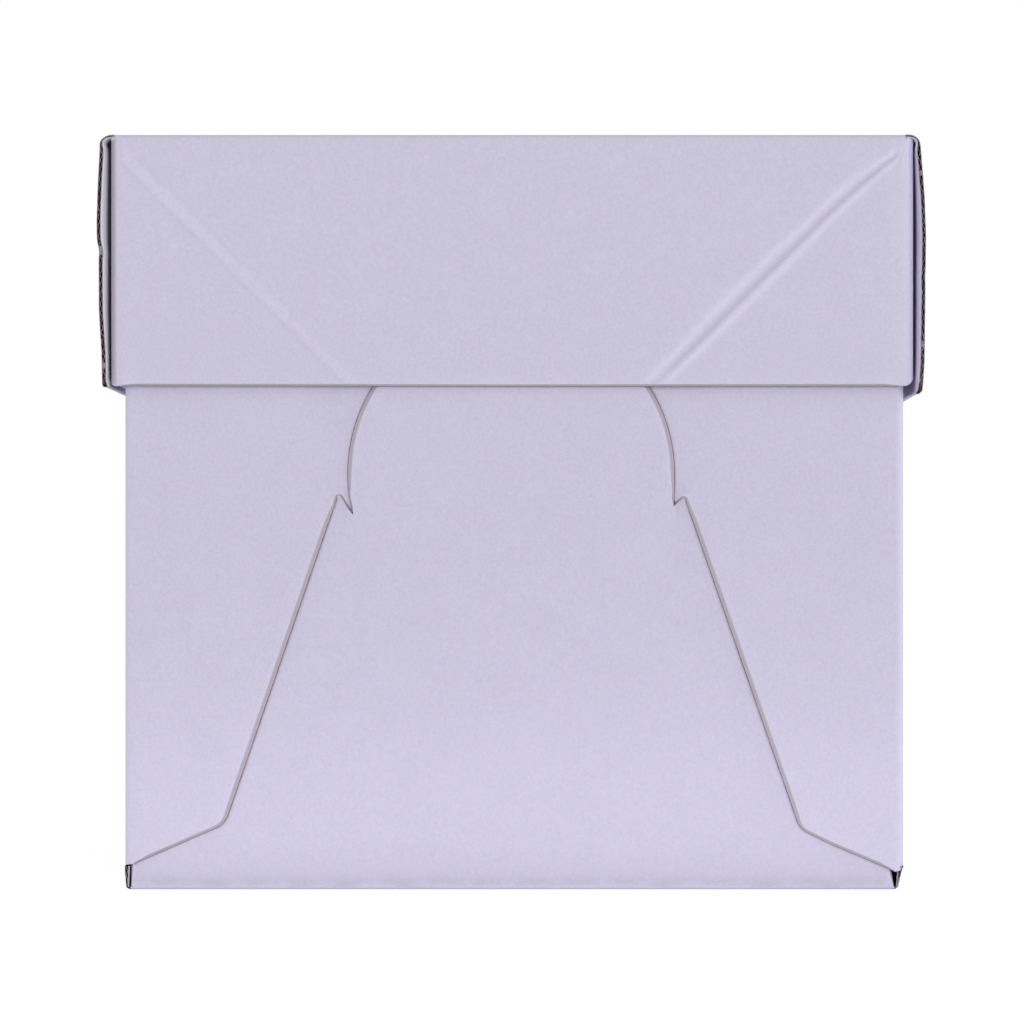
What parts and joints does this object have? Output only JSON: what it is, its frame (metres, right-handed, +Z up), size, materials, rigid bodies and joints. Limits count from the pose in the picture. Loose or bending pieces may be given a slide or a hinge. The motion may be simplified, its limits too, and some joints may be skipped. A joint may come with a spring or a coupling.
{
  "type": "cake box",
  "caption": "Square white cake box in fluted board: a tray base with locked ends and a creased lift-off lid that holds and covers a cake.",
  "frame": {"origin": "middle of the underside, on the surface that the box stands on", "axes": "+X across the locked end that faces the viewer, +Y from that front end to the back end, +Z up, the way the lid lifts"},
  "size_m": [0.2738, 0.2656, 0.2492],
  "materials": {
    "base_board": "white clay-coated liner, matt, brown fluting at the cut edges",
    "lid_board": "white clay-coated liner, matt, brown fluting at the cut edges"
  },
  "bodies": {
    "base": {"base": "base_board"},
    "lid": {"lid": "lid_board"}
  },
  "joints": [
    {"name": "lid_lift", "type": "slide", "parent": "base", "child": "lid", "axis": [0, 0, 1], "range_m": [0, 0.13]}
  ]
}
